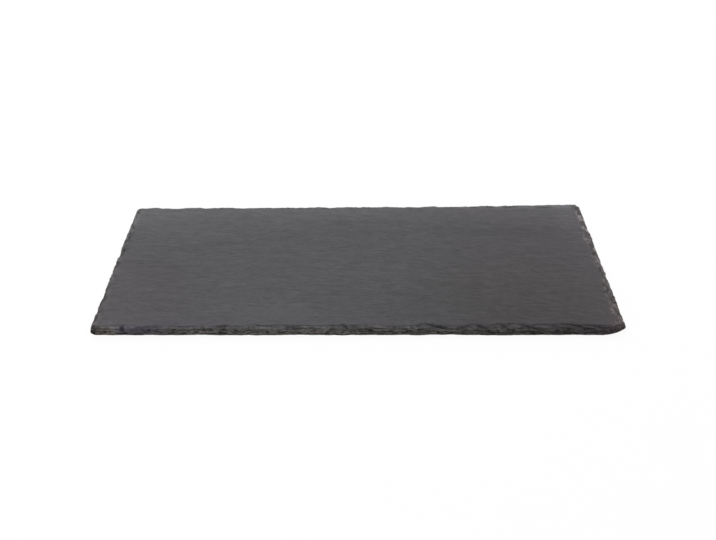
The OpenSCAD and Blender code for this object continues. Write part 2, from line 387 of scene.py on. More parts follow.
def fitted_points(inset):
    """The cut line at an inset, fitted so that the widest layer fills the slab's own box."""
    scale = slab_size[:2] / (widest_high - widest_low)
    middle = (slab_low[:2] + slab_high[:2]) / 2
    return (cut_points(inset) - (widest_low + widest_high) / 2) * scale + middle


def rippled(x, y, pitch_x, pitch_y, kind):
    """Value noise: chances at the knots of a lattice, eased between them along both axes."""
    column, row = x / pitch_x, y / pitch_y
    i, j = np.floor(column), np.floor(row)
    u, v = eased(column - i), eased(row - j)
    lower = chance(i, kind, j) * (1 - u) + chance(i + 1, kind, j) * u
    upper = chance(i, kind, j + 1) * (1 - u) + chance(i + 1, kind, j + 1) * u
    return lower * (1 - v) + upper * v


# The relief of the split faces: how deep each part of it is, and its pitches along X and along Y.
# Ripples and plateaus lie aslant, by a share of the other axis.
SWELL_DEPTH = 0.00016
SWELL_PITCHES = (0.070, 0.045)
RIPPLE_DEPTH = 0.00008
RIPPLE_PITCHES = (0.022, 0.0085)
RIPPLE_SLANT = 0.6
STREAK_DEPTH = 0.00005
STREAK_PITCHES = (0.014, 0.0042)
PLATEAU_PITCHES = (0.055, 0.018)
PLATEAU_SLANT = 0.15
SCALE_PITCHES = (0.012, 0.006)
PLATEAU_SHARE, SCALE_SHARE = 0.7, 0.3
STEP_DEPTH = 0.00007
STEP_LEVELS = (0.365, 0.545, 0.685)
STEP_RUN = 0.03


def riven_depth(x, y, kind):
    """How far a split face lies below its highest level: swells, ripples along X, fine streaks, and
    steps where slow plateaus with scales on them pass each of three levels."""
    swell = SWELL_DEPTH * rippled(x, y, *SWELL_PITCHES, kind)
    ripple = RIPPLE_DEPTH * rippled(x + RIPPLE_SLANT * y, y, *RIPPLE_PITCHES, kind + 1)
    streak = STREAK_DEPTH * rippled(x, y, *STREAK_PITCHES, kind + 2)
    plateau = PLATEAU_SHARE * rippled(x, y + PLATEAU_SLANT * x, *PLATEAU_PITCHES, kind + 3)
    plateau = plateau + SCALE_SHARE * rippled(x, y, *SCALE_PITCHES, kind + 4)
    steps = sum(faded(plateau, level, level + STEP_RUN) for level in STEP_LEVELS)
    return swell + ripple + streak + STEP_DEPTH * steps


# Rings of the edge from the top face down: the head, the waist and the foot of each layer's riser.
# A riser leans out or is undercut by turns, and the lower riser of each step of a flake is undercut.
underside_z, top_z = slab_low[2], slab_high[2]
thickness = top_z - underside_z
top_outline = fitted_points(insets[0])
rim_z = top_z - riven_depth(top_outline[:, 0], top_outline[:, 1], RELIEF)
flake_undercuts = by_side(FLAKE_UNDERCUT_SHARES)


def layer_height(layer):
    """Height of a layer's upper face: its share of the height at the rim, and a slow wander."""
    share = 1 - LAYER_SHARES[:layer].sum()
    thinner = LAYER_SHARES[max(layer - 1, 0):layer + 1].min()
    wander = LAYER_WANDER_SHARE * thinner * thickness * (wave(LAYER_WANDER_PITCH, WANDER + layer) - 0.5)
    return underside_z + (rim_z - underside_z) * share + wander * (0 < layer < layer_count)


def feathered(height, layer):
    """A height in the riser of a flake's step, raised to the step's upper face where the flake
    starts, so that its scar slopes out of that face and its riser grows along the run."""
    if layer >= FLAKE_LAYERS:
        return height
    pair = layer - layer % 2
    upper = layer_height(pair)
    scar, running = flakes_at(layer_floors[pair + 1])
    return height + (upper - height) * FEATHER_SHARE * np.clip(scar / SCAR_DEPTH, 0, 1) * (1 - running)


edge = []
for layer in range(layer_count):
    base = insets[layer] + (pitted(layer) if layer >= FLAKE_LAYERS else 0)
    lean = blend(LEAN_RANGE, wave(LEAN_PITCH, LEANS + layer))
    undercut = np.maximum(-lean, 0)
    if layer in (FLAKE_LAYERS // 2 - 1, FLAKE_LAYERS - 1):
        scar, running = flakes_at(layer_floors[layer])
        undercut = np.maximum(undercut, flake_undercuts * running * np.minimum(FLAKE_UNDERCUT, scar))
    head = layer_height(layer) - LEDGE_DROP * (layer > 0)
    foot = layer_height(layer + 1) + UNDER_RISE * (layer == layer_count - 1)
    waist_grain = GRAIN_DEPTH * (wave(GRAIN_PITCH, WAISTS + layer) - 0.5)
    head, foot = feathered(head, layer), feathered(foot, layer)
    edge.append((base + np.maximum(lean, 0), head))
    edge.append((base + (np.maximum(lean, 0) + undercut) / 3 + waist_grain, (head + foot) / 2))
    edge.append((base + undercut, foot))
under_inset = insets[-1] + UNDER_BITE * (UNDER_BITE_LEAST + wave(CHIP_PITCH, UNDERSIDE))
edge.append((under_inset, np.full(columns, underside_z)))
edge_insets = np.array([inset for inset, _ in edge])
edge_rings = np.array([np.column_stack([fitted_points(inset), height]) for inset, height in edge])


def widened(inset, reach):
    """A smooth line no less than the inset: the greatest value within a reach, averaged over it."""
    turns = range(-reach, reach + 1)
    greatest = np.max([np.roll(inset, turn) for turn in turns], axis=0)
    return np.mean([np.roll(greatest, turn) for turn in turns], axis=0)


def rim_sides(rim, cells_x, cells_y):
    """The front, right, back and left of a rim with their corners, left to right or front to back."""
    closed = np.concatenate([rim, rim[:1]])
    right_end, back_end = cells_x + cells_y, 2 * cells_x + cells_y
    return (
        closed[:cells_x + 1], closed[cells_x:right_end + 1],
        closed[right_end:back_end + 1][::-1], closed[back_end:][::-1],
    )


def patch(rim, cells_x, cells_y):
    """A Coons patch: the blends of opposite edges of the rim, less the blend of its four corners."""
    front, right, back, left = rim_sides(rim, cells_x, cells_y)
    u = np.linspace(0, 1, cells_x + 1)[None, :, None]
    v = np.linspace(0, 1, cells_y + 1)[:, None, None]
    between_sides = (1 - v) * front[None] + v * back[None]
    between_ends = (1 - u) * left[:, None] + u * right[:, None]
    corners = (
        (1 - u) * (1 - v) * front[0] + u * (1 - v) * front[-1]
        + (1 - u) * v * back[0] + u * v * back[-1]
    )
    return between_sides + between_ends - corners


def patch_quads(rim_start, inner_start, cells_x, cells_y):
    """The quads of a patch, facing up. Its border is the rim, and its inner vertices lie in rows."""
    grid = np.zeros((cells_y + 1, cells_x + 1), int)
    inner = np.arange((cells_y - 1) * (cells_x - 1)).reshape(cells_y - 1, cells_x - 1)
    grid[1:-1, 1:-1] = inner_start + inner
    rim = rim_start + np.arange(2 * (cells_x + cells_y))
    grid[0], grid[:, -1], grid[-1], grid[:, 0] = rim_sides(rim, cells_x, cells_y)
    return np.stack([grid[:-1, :-1], grid[:-1, 1:], grid[1:, 1:], grid[1:, :-1]], -1).reshape(-1, 4)


def ring_quads(upper_start, lower_start, count):
    """Quads between two rings of one count, facing out."""
    here = np.arange(count)
    there = (here + 1) % count
    return np.stack(
        [upper_start + here, lower_start + here, lower_start + there, upper_start + there], -1
    )


def thinning_triangles(fine_start, coarse_start, coarse_count):
    """Three triangles to each pair of columns where a ring meets one of half its count, facing up."""
    here = np.arange(coarse_count)
    there = (here + 1) % coarse_count
    first, middle, last = fine_start + 2 * here, fine_start + 2 * here + 1, fine_start + 2 * there
    near, far = coarse_start + here, coarse_start + there
    return np.concatenate([
        np.stack([first, middle, near], -1),
        np.stack([middle, far, near], -1),
        np.stack([middle, last, far], -1),
    ])


def mesh_object(name, vertices, quads, triangles, smooth):
    """A mesh of quads and triangles as an object at the origin, all or some of them shaded smooth."""
    mesh = bpy.data.meshes.new(name)
    corners = np.concatenate([quads.ravel(), triangles.ravel()])
    starts = np.concatenate([
        np.arange(len(quads)) * 4, len(quads) * 4 + np.arange(len(triangles)) * 3
    ])
    mesh.vertices.add(len(vertices))
    mesh.vertices.foreach_set("co", np.asarray(vertices, np.float32).ravel())
    mesh.loops.add(len(corners))
    mesh.loops.foreach_set("vertex_index", corners.astype(np.int32))
    mesh.polygons.add(len(starts))
    mesh.polygons.foreach_set("loop_start", starts.astype(np.int32))
    mesh.polygons.foreach_set("use_smooth", np.full(len(starts), smooth))
    mesh.update(calc_edges=True)
    mesh.validate()
    piece = bpy.data.objects.new(name, mesh)
    bpy.context.scene.collection.objects.link(piece)
    return piece


# Inside the edge, rims of half and of a quarter of its columns lead to the grid of the top face, and
# one more halving leads to the grid of the underside. Each rim has its margin from the edge, and is
# evened out over a few columns more than the last.
TOP_MARGINS = (0.0006, 0.0018)
UNDER_MARGINS = (0.0008, 0.0020, 0.0042)
RIM_REACH = 8
# The underside is flat as far as the first of these from the middle of each foot, and ripples in
# full from the second on
FOOT_CLEARING = (0.00715, 0.01815)


def face_points(inset, margins, cells_x, cells_y):
    """The rims of a split face, and all its points: those of the rims, then those of its grid."""
    rims = [
        fitted_points(widened(inset, RIM_REACH * step) + margin)[::2 ** step]
        for step, margin in enumerate(margins, 1)
    ]
    grid = patch(rims[-1], cells_x, cells_y)
    return rims, np.concatenate(rims + [grid[1:-1, 1:-1].reshape(-1, 2)])


def face_cells(edge_start, face_start, rims, cells_x, cells_y):
    """Quads of the grid of a split face, and triangles from the edge in through its rims, facing up."""
    starts = face_start + np.cumsum([0] + [len(rim) for rim in rims])
    triangles = [
        thinning_triangles(outer, inner, len(rim))
        for outer, inner, rim in zip([edge_start, *starts], starts, rims)
    ]
    return patch_quads(starts[-2], starts[-1], cells_x, cells_y), np.concatenate(triangles)


top_rims, top_points = face_points(insets[0], TOP_MARGINS, CELLS_X, CELLS_Y)
top_heights = top_z - riven_depth(top_points[:, 0], top_points[:, 1], RELIEF)
under_rims, under_points = face_points(under_inset, UNDER_MARGINS, CELLS_X // 2, CELLS_Y // 2)

foot_places = ("front_left", "front_right", "back_right", "back_left")
foot_boxes = {
    place: [np.array(corner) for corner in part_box("rubber_foot_" + place)] for place in foot_places
}
clear_of_feet = np.ones(len(under_points))
for low, high in foot_boxes.values():
    away = np.hypot(*(under_points - (low + high)[:2] / 2).T)
    clear_of_feet = np.minimum(clear_of_feet, faded(away, *FOOT_CLEARING))
rim_sizes = [len(rim) for rim in under_rims]
rim_sizes.append(len(under_points) - sum(rim_sizes))
rim_fade = np.repeat(np.linspace(0, 1, len(rim_sizes)), rim_sizes)
under_rise = riven_depth(under_points[:, 0], under_points[:, 1], UNDER_RELIEF)
under_heights = underside_z + under_rise * clear_of_feet * rim_fade

ring_count = len(edge_rings)
edge_count = ring_count * columns
edge_quads = np.concatenate([
    ring_quads(ring * columns, (ring + 1) * columns, columns) for ring in range(ring_count - 1)
])
top_quads, top_triangles = face_cells(0, edge_count, top_rims, CELLS_X, CELLS_Y)
under_quads, under_triangles = face_cells(
    edge_count - columns, edge_count + len(top_points), under_rims, CELLS_X // 2, CELLS_Y // 2
)

slab_vertices = np.concatenate([
    edge_rings.reshape(-1, 3),
    np.column_stack([top_points, top_heights]),
    np.column_stack([under_points, under_heights]),
])
slab_vertices = np.clip(slab_vertices, slab_low, slab_high)
quads = np.concatenate([edge_quads, top_quads, under_quads[:, ::-1]])
triangles = np.concatenate([top_triangles, under_triangles[:, ::-1]])
smooth = np.arange(len(quads) + len(triangles)) >= len(edge_quads)
slab = mesh_object("riven_slate_slab", slab_vertices, quads, triangles, smooth)

# How far the stone of the edge is broken rather than split: all of it low down, and less of it up the
# bevel. Ring 3n is the head of layer n's riser, and the ring before it is the foot of the riser above.
BEVEL_SPLIT_SHARES = np.array([0.3, 0.3, 0.3, 0.35])
BEVEL_SPLIT_LEVELS = (0.35, 0.7)
ring_levels = np.append(np.repeat(layer_floors, 3), 0)
split_levels = faded(ring_levels, *BEVEL_SPLIT_LEVELS)[:, None]
broken = 1 - by_side(BEVEL_SPLIT_SHARES) * split_levels

# How deep each point of the edge lies in a crevice, and below zero how proud it stands: its inset
# less the mean inset of the columns and rings near it, less of it up the bevel of the ends. The slate
# material darkens the crevices by it as painted shade.
CREVICE_DEPTH = 0.0005
CREVICE_COLUMNS = 5
CREVICE_RINGS = 4
BEVEL_CALM_SHARES = np.array([0.0, 0.7, 0.0, 0.3])
turns = range(-CREVICE_COLUMNS, CREVICE_COLUMNS + 1)
near_insets = np.mean([np.roll(edge_insets, turn, axis=1) for turn in turns], axis=0)
margins = ((CREVICE_RINGS, CREVICE_RINGS), (0, 0))
padded = np.pad(near_insets, margins, mode="reflect", reflect_type="odd")
near_insets = np.mean([padded[turn:turn + ring_count] for turn in range(2 * CREVICE_RINGS + 1)], axis=0)
crevice_shades = np.clip((edge_insets - near_insets) / CREVICE_DEPTH, -1, 1)
crevice_shades *= 1 - by_side(BEVEL_CALM_SHARES) * split_levels

# The scars of flakes: their ledges and the risers where they start are mostly split stone, their
# ledges are dimmer with painted shade below the undercut risers, and their undercut risers are broken
# and count as deeper than any crevice, so that they get the darkest painted shade. The rim of the top
# face is broken by a share of its own.
SCAR_SHARE = 0.85
SCAR_LEDGE_SHADE = 0.15
SCAR_SHADE = 1.15
RIM_BROKEN_SHARES = np.array([0.0, 0.7, 0.2, 0.9])
scar_ledge_shades = np.ones((ring_count, columns))
for layer in (FLAKE_LAYERS // 2, FLAKE_LAYERS):
    scar, running = flakes_at(layer_floors[layer - 1])
    scar = np.clip(scar / SCAR_DEPTH, 0, 1)
    shade = SCAR_SHADE * flake_undercuts * scar * running
    starting = slice(3 * layer - 6, 3 * layer - 1)
    undercut = slice(3 * layer - 5, 3 * layer)
    ledge = slice(3 * layer - 1, 3 * layer + 1)
    broken[ledge] *= 1 - SCAR_SHARE * scar
    broken[starting] *= 1 - SCAR_SHARE * scar * (1 - running)
    broken[undercut] = np.maximum(broken[undercut], np.minimum(shade, 1))
    crevice_shades[undercut] = np.maximum(crevice_shades[undercut] * (1 - flake_undercuts * scar), shade)
    scar_ledge_shades[ledge] -= SCAR_LEDGE_SHADE * flake_undercuts * scar
broken[0] = by_side(RIM_BROKEN_SHARES)

# The tint of the beds that the edge broke through: a side, a share of its length, and how much of
# red, green and blue the stone there keeps. Along the right end the values run far above 1: there they
# are painted light on the broken end.
BED_TINTS_AND_PAINTED_LIGHT = (
    (0, 0.04, (1.45, 1.38, 1.30)), (0, 0.065, (0.92, 0.88, 1.10)), (0, 0.115, (0.92, 0.88, 1.08)),
    (0, 0.15, (1.08, 1.04, 1.04)), (0, 0.60, (1.04, 1.02, 1.00)), (0, 0.80, (0.96, 0.92, 0.90)),
    (0, 0.95, (0.74, 0.66, 0.72)),
    # The right end, far above 1: painted light on the broken end
    (1, 0.10, (1.66, 1.44, 1.45)), (1, 0.55, (1.80, 1.60, 1.62)), (1, 0.95, (2.30, 2.08, 2.10)),
    (2, 0.04, (0.90, 0.87, 0.87)), (2, 0.97, (0.90, 0.87, 0.87)),
    (3, 0.05, (0.62, 0.60, 0.57)), (3, 0.15, (0.68, 0.66, 0.64)), (3, 0.32, (0.90, 0.88, 0.83)),
    (3, 0.60, (0.62, 0.60, 0.55)), (3, 0.92, (0.32, 0.31, 0.25)),
)
tint_ways = [way_to(side, share) for side, share, _ in BED_TINTS_AND_PAINTED_LIGHT]
bed_tint_and_painted_light = np.stack([
    np.interp(ways, tint_ways, [tint[channel] for _, _, tint in BED_TINTS_AND_PAINTED_LIGHT], period=way_round)
    for channel in range(3)
], -1)

# Mottling where the stone was struck: its pitches and its strips at the ends and at the back, the
# noise that it is drawn from, how pale it gets, and how much less of it there is at the right front
MOTTLE_END_PITCHES, MOTTLE_BACK_PITCHES = (0.002, 0.0055), (0.0055, 0.003)
MOTTLE_END_X, MOTTLE_BACK_Y = (0.140, 0.145), (0.085, 0.092)
MOTTLE_NOISE = (0.26, 0.74)
MOTTLE_RANGE = (-0.6, 1.0)
MOTTLE_CALM = 0.4
RIGHT_END_X, RIGHT_FRONT_Y = (0.12, 0.14), (0.0, -0.06)
END_MOTTLES, BACK_MOTTLES = 213, 214


def mottled(x, y):
    """Pale and dark patches where the ends and the back were struck, from -0.6 to 1: longer along the
    edge than across it."""
    at_ends = rippled(x, y, *MOTTLE_END_PITCHES, END_MOTTLES)
    at_back = rippled(x, y, *MOTTLE_BACK_PITCHES, BACK_MOTTLES)
    back_share = faded(y, *MOTTLE_BACK_Y) * (1 - faded(np.abs(x), *MOTTLE_END_X))
    noise = at_ends + (at_back - at_ends) * back_share
    calm = MOTTLE_CALM * faded(x, *RIGHT_END_X) * faded(y, *RIGHT_FRONT_Y)
    return blend(MOTTLE_RANGE, faded(noise, *MOTTLE_NOISE)) * (1 - calm)


# A few broad patches of the serving face: the middle and the reach of each along X and Y, and how
# much paler it is
FACE_PATCHES = (
    (-0.045, -0.080, 0.035, 0.022, 0.16), (-0.120, -0.018, 0.025, 0.025, -0.12),
    (0.000, 0.067, 0.020, 0.008, -0.14), (-0.115, 0.052, 0.020, 0.010, 0.10),
    (0.090, 0.045, 0.025, 0.015, -0.08), (-0.075, 0.025, 0.050, 0.018, -0.06),
    (0.022, -0.047, 0.045, 0.016, -0.06), (-0.139, 0.068, 0.015, 0.028, 0.08),
    (0.127, -0.050, 0.018, 0.018, 0.05), (-0.136, -0.074, 0.012, 0.012, 0.07),
    (0.088, -0.076, 0.020, 0.009, -0.06),
)

# Where the split faces change: a ramp along X and one along Y, each with its start and its end, and
# how much paler, redder and bluer they are past both. EVERYWHERE is a ramp that all of them are past.
# The first ramp, paler towards the back, is painted sheen, and the last, paler at the left front rim,
# is a painted highlight.
EVERYWHERE = (-2.0, -1.0)
RIGHT_X, FRONT_Y, RIM_Y = (0.02, 0.10), (0.05, -0.05), (-0.084, -0.094)
FACE_RAMPS_AND_PAINTED_SHEEN = (
    # Paler towards the back: painted sheen
    (EVERYWHERE, (0.045, 0.098), 0.34, 0.0, 0.0),
    (EVERYWHERE, (-0.03, -0.07), -0.05, 0.0, 0.0),
    (EVERYWHERE, RIM_Y, 0.0, 0.03, 0.045),
    ((-0.02, 0.06), EVERYWHERE, -0.08, 0.0, 0.0),
    ((0.0, 0.07), FRONT_Y, 0.0, 0.0, -0.032),
    (RIGHT_X, EVERYWHERE, 0.0, 0.033, 0.0),
    (RIGHT_X, FRONT_Y, -0.16, 0.0, 0.0),
    (RIGHT_X, (0.08, 0.02), 0.0, 0.027, 0.0),
    (RIGHT_X, (0.03, 0.07), 0.0, 0.0, 0.018),
    (RIGHT_END_X, EVERYWHERE, 0.12, 0.0, 0.0),
    (RIGHT_END_X, RIM_Y, 0.0, 0.03, 0.045),
    ((-0.06, -0.13), (0.04, -0.04), 0.0, 0.06, 0.03),
    # Paler at the left front rim: a painted highlight
    ((-0.118, -0.135), RIM_Y, 0.12, 0.0, 0.0),
)
PLAIN_RED, PLAIN_BLUE = 1.015, 1.073
# The bruised band along the right end: its middle, its width at the back and at the front, the
# pitches of its wavy inner line, how much paler it is at the back and at the front, and how much
# redder and bluer it is
BRUISE_MIDDLE = 0.1475
BRUISE_WIDTHS = (0.004, 0.011)
BRUISE_Y = (0.02, -0.08)
BRUISE_PITCHES = (0.004, 0.007)
BRUISE_PALER, BRUISE_REDDER, BRUISE_BLUER = (0.14, 0.04), 0.09, 0.02
BRUISES = 211
# The strips at the ends and at the back that were struck, and how much of the mottling shows there:
# everywhere, and besides that towards the back and on the left
STRUCK_END_X, STRUCK_BACK_Y = (0.1425, 0.1485), (0.088, 0.096)
STRUCK_MOTTLING, BACK_MOTTLING, LEFT_MOTTLING = 0.36, 0.18, 0.2
BACK_MOTTLING_Y = (-0.02, 0.04)
# The yellowish stain at the left front
STAIN_X, STAIN_Y = (-0.138, -0.146), (-0.02, -0.07)
STAIN_SHARE = 0.06


def face_tint_and_painted_sheen(x, y):
    """Tint of the split faces: their level, and more or less of it in red and in blue. The ramps make
    them purplish at the left front, at the right back and along the front rim, and brownish at the
    right, and paler towards the back as painted sheen and at the left front rim as a painted
    highlight. Besides, they lie in patches, and are bruised, mottled and stained."""
    level, red, blue = np.ones(len(x)), PLAIN_RED, PLAIN_BLUE
    for ramp_x, ramp_y, paler, redder, bluer in FACE_RAMPS_AND_PAINTED_SHEEN:
        share = faded(x, *ramp_x) * faded(y, *ramp_y)
        level = level * (1 + paler * share)
        red, blue = red + redder * share, blue + bluer * share
    for middle_x, middle_y, reach_x, reach_y, paler in FACE_PATCHES:
        away = ((x - middle_x) / reach_x) ** 2 + ((y - middle_y) / reach_y) ** 2
        level = level * (1 + paler * np.exp(-away))
    band = blend(BRUISE_WIDTHS, faded(y, *BRUISE_Y))
    wavy_x = x + band * rippled(x, y, *BRUISE_PITCHES, BRUISES)
    bruise = faded(wavy_x, BRUISE_MIDDLE - band / 2, BRUISE_MIDDLE + band / 2)
    at_end = faded(np.abs(x), *STRUCK_END_X)
    struck = at_end + (1 - at_end) * faded(y, *STRUCK_BACK_Y)
    mottling = STRUCK_MOTTLING + BACK_MOTTLING * faded(y, *BACK_MOTTLING_Y) + LEFT_MOTTLING * (x < 0)
    stain = faded(x, *STAIN_X) * faded(y, *STAIN_Y)
    level = level * (1 + blend(BRUISE_PALER, faded(y, *RIGHT_FRONT_Y)) * bruise)
    level = level * (1 + mottling * struck * mottled(x, y))
    red = level * red * (1 + BRUISE_REDDER * bruise)
    blue = level * blue * (1 + BRUISE_BLUER * bruise) * (1 - STAIN_SHARE * stain)
    return np.stack([red, level, blue], -1)


def add_attribute(name, kind, field, values):
    """A value on each vertex, and 0 on the faces where only the edge is given one."""
    held = np.zeros((len(slab_vertices), *values.shape[1:]), np.float32)
    held[:len(values)] = values
    slab.data.attributes.new(name, kind, "POINT").data.foreach_set(field, held.ravel())


# Each layer has its own tone, which drifts along the edge. On each side the low layers, the high ones
# and the rim of the top face have theirs, and so has the mottling. The low layers are warmer.
LAYER_TONE_PITCH = 0.03
LAYER_TONE_RANGE = (0.78, 1.22)
TONES = 230
LOW_LEVELS = (0.25, 0.6)
LOW_TONES = np.array([0.95, 0.9, 0.8, 0.75])
LOW_TINT = np.array([1.07, 1.02, 0.99])
HIGH_LEVELS = (0.5, 0.8)
HIGH_TONES = np.array([1.5, 0.79, 1.0, 1.0])
RIM_TONES = np.array([1.0, 1.0, 0.7, 0.6])
MOTTLE_SHARES = np.array([0.0, 0.7, 0.9, 1.2])
# Along the front: a share of its length, and the tone of its high and of its middle layers there
FRONT_TONES = (
    (0.03, 1.1, 1.0), (0.08, 1.3, 1.05), (0.13, 1.0, 1.0), (0.30, 1.1, 1.12), (0.50, 1.0, 1.0),
    (0.75, 1.1, 0.74), (0.97, 1.15, 0.78),
)
FRONT_MIDDLE_LEVELS = (0.12, 0.3)
FRONT_HIGH_LEVELS = (0.5, 0.7)

ring_tones = np.array([
    blend(LAYER_TONE_RANGE, wave(LAYER_TONE_PITCH, TONES + layer))
    for layer in np.append(np.repeat(range(layer_count), 3), layer_count - 1)
])
low_part = 1 - faded(ring_levels, *LOW_LEVELS)[:, None]
ring_tones *= 1 - (1 - by_side(LOW_TONES)) * low_part
ring_tones *= 1 + (by_side(HIGH_TONES) - 1) * faded(ring_levels, *HIGH_LEVELS)[:, None]
front_shares, high_tones, middle_tones = np.array(FRONT_TONES).T
front_share = past(0, 0) / side_lengths[0]
front_high = faded(ring_levels, *FRONT_HIGH_LEVELS)
front_middle = faded(ring_levels, *FRONT_MIDDLE_LEVELS) * (1 - front_high)
for level_part, tones in ((front_high, high_tones), (front_middle, middle_tones)):
    front_part = (sides == 0) * level_part[:, None]
    ring_tones *= 1 + front_part * (np.interp(front_share, front_shares, tones) - 1)
ring_tones[0] *= by_side(RIM_TONES)
ring_tones *= 1 + by_side(MOTTLE_SHARES) * mottled(edge_rings[..., 0], edge_rings[..., 1])
edge_tints_and_painted_light = ring_tones[..., None] * bed_tint_and_painted_light * (1 + (LOW_TINT - 1) * low_part[..., None])

# Besides the stone's own tint, the tint carries the painted sheen and highlight of the top face, the
# painted light on the right end and the painted shade of the flakes' ledges
tints = face_tint_and_painted_sheen(slab_vertices[:, 0], slab_vertices[:, 1])
tints[:edge_count] += (edge_tints_and_painted_light.reshape(-1, 3) - tints[:edge_count]) * broken.reshape(-1, 1)
tints[:edge_count] *= scar_ledge_shades.reshape(-1, 1)
add_attribute("broken", "FLOAT", "value", broken.ravel())
add_attribute("crevice_shade", "FLOAT", "value", crevice_shades.ravel())
add_attribute("tint", "FLOAT_COLOR", "color", np.column_stack([tints, np.ones(len(tints))]))


# Most of what a noise gives lies in this range
NOISE_RANGE = (0.3, 0.7)


class Finish:
    """A material's nodes, made one after another and wired as they are made."""

    def __init__(self, name):
        self.material = bpy.data.materials.new(name)
        self.material.use_nodes = True
        self.nodes = self.material.node_tree.nodes
        self.links = self.material.node_tree.links
        self.shader = self.nodes["Principled BSDF"]
        self.coordinates = self.nodes.new("ShaderNodeTexCoord").outputs["Object"]

    def node(self, kind, **settings):
        """A new node, with its own settings by name."""
        made = self.nodes.new(kind)
        for name, value in settings.items():
            setattr(made, name, value)
        return made

    def set_sockets(self, sockets, values):
        """Sets each socket to its value, or wires the value to it where that is another's output."""
        for socket, value in zip(sockets, values):
            if isinstance(value, bpy.types.NodeSocket):
                self.links.new(value, socket)
            else:
                socket.default_value = value

    def feed(self, node, **inputs):
        """Sets or wires a node's inputs by name, with _ for a space."""
        self.set_sockets([node.inputs[name.replace("_", " ")] for name in inputs], inputs.values())

    def placed(self, stretch):
        """Object coordinates, stretched along each axis."""
        mapping = self.node("ShaderNodeMapping")
        self.feed(mapping, Vector=self.coordinates, Scale=stretch)
        return mapping.outputs["Vector"]

    def noise(self, stretch, detail=4.0, roughness=0.55, distortion=0.0):
        """Noise whose features are one unit across, on stretched coordinates."""
        made = self.node("ShaderNodeTexNoise")
        self.feed(made, Vector=self.placed(stretch), Scale=1.0, Detail=detail,
                  Roughness=roughness, Distortion=distortion)
        return made.outputs["Fac"]

    def ranged(self, value, low, high, to_low=0.0, to_high=1.0):
        """A value's range carried to another range, and held there."""
        made = self.node("ShaderNodeMapRange")
        self.feed(made, Value=value, From_Min=low, From_Max=high, To_Min=to_low, To_Max=to_high)
        return made.outputs["Result"]

    def varied(self, noise, depth):
        """A factor from 1 less a depth to 1 and that depth, over a noise's range."""
        return self.ranged(noise, *NOISE_RANGE, 1 - depth, 1 + depth)

    def maths(self, operation, first, second=0.5):
        """Arithmetic on two values."""
        made = self.node("ShaderNodeMath", operation=operation)
        self.set_sockets(made.inputs[:2], (first, second))
        return made.outputs["Value"]

    def product(self, first, *rest):
        """Values multiplied together."""
        for factor in rest:
            first = self.maths("MULTIPLY", first, factor)
        return first

    def grey_of(self, level):
        """A grey colour of a given level."""
        made = self.node("ShaderNodeCombineColor")
        self.feed(made, Red=level, Green=level, Blue=level)
        return made.outputs["Color"]

    def terraced(self, value, steps, tread=0.75):
        """A value cut into a number of flat steps, each flat for a share of it and then eased up."""
        raised = self.maths("MULTIPLY", value, float(steps))
        floor_of = self.maths("FLOOR", raised)
        riser = self.maths("SUBTRACT", raised, floor_of)
        eased_riser = self.node("ShaderNodeMapRange", interpolation_type="SMOOTHSTEP")
        self.feed(eased_riser, Value=riser, From_Min=tread, From_Max=1.0)
        summed = self.maths("ADD", floor_of, eased_riser.outputs["Result"])
        return self.maths("DIVIDE", summed, float(steps))

    def mixed(self, share, first, second, mode="MIX"):
        """Two colours mixed by a share."""
        made = self.node("ShaderNodeMix", data_type="RGBA", blend_type=mode)
        self.set_sockets((made.inputs[0], made.inputs[6], made.inputs[7]), (share, first, second))
        return made.outputs[2]

    def bump(self, height, distance, strength=1.0, normal=None):
        """A bump of a given depth in metres, on top of another where one is given."""
        made = self.node("ShaderNodeBump")
        self.feed(made, Height=height, Distance=distance, Strength=strength)
        if normal is not None:
            self.feed(made, Normal=normal)
        return made.outputs["Normal"]


def grey(level, red=1.0, blue=1.0):
    """A grey of a given level, leaning to red or blue."""
    return (level * red, level, level * blue, 1.0)


# The split faces: a dark grey with soft patches, short streaks along the grain, scaly steps and a few
# pale scratches. A noise's stretch is how many of its features go to a metre along X, Y and Z. The
# grain bends: Y is raised by a share of X, by a share of its square in metres, and by a slow noise.
FACE_GREY = 0.0588
BLUISH, REDDISH = (0.985, 1.0, 1.012, 1.0), (1.015, 0.998, 0.992, 1.0)
GRAIN_SLOPE = 0.1
GRAIN_CURVE = 0.4
GRAIN_WANDER = 0.003
# How far each kind of mark changes the tone. An arc is where a noise crosses its middle, within a
# width of it.
PATCH_DEPTH, STREAK_TONE_DEPTH, SCALE_TONE_DEPTH, DUST_DEPTH, LINE_DEPTH = 0.03, 0.08, 0.08, 0.10, 0.21
ARC_WIDTH, ARC_DEPTH = 0.012, 0.25
SCRATCH_TONE = 1.4
TERRACES = 14

slate = Finish("riven_slate")
position = slate.node("ShaderNodeSeparateXYZ")
slate.feed(position, Vector=slate.coordinates)
x_place, y_place, z_place = position.outputs
slope = slate.product(x_place, GRAIN_SLOPE)
curve = slate.product(x_place, x_place, GRAIN_CURVE)
wander = slate.ranged(slate.noise((24, 24, 24), 1.0), *NOISE_RANGE, -GRAIN_WANDER, GRAIN_WANDER)
bend = slate.maths("ADD", slate.maths("ADD", slope, curve), wander)
grain = slate.node("ShaderNodeCombineXYZ")
slate.feed(grain, X=x_place, Y=slate.maths("ADD", y_place, bend), Z=z_place)
slate.coordinates = grain.outputs["Vector"]
patches = slate.noise((14, 20, 14), 2.0)
streaks = slate.noise((130, 360, 360), 4.0, 0.6, 0.4)
scales = slate.noise((300, 560, 560), 3.0, 0.6, 0.8)
hairs = slate.noise((220, 1400, 1400), 4.0, 0.6)
dust = slate.noise((680, 520, 680), 4.0, 0.65)
scratches = slate.noise((150, 1000, 1000), 2.0, 0.5)
terraces = slate.terraced(slate.noise((60, 130, 130), 4.0, 0.55, 0.3), TERRACES)
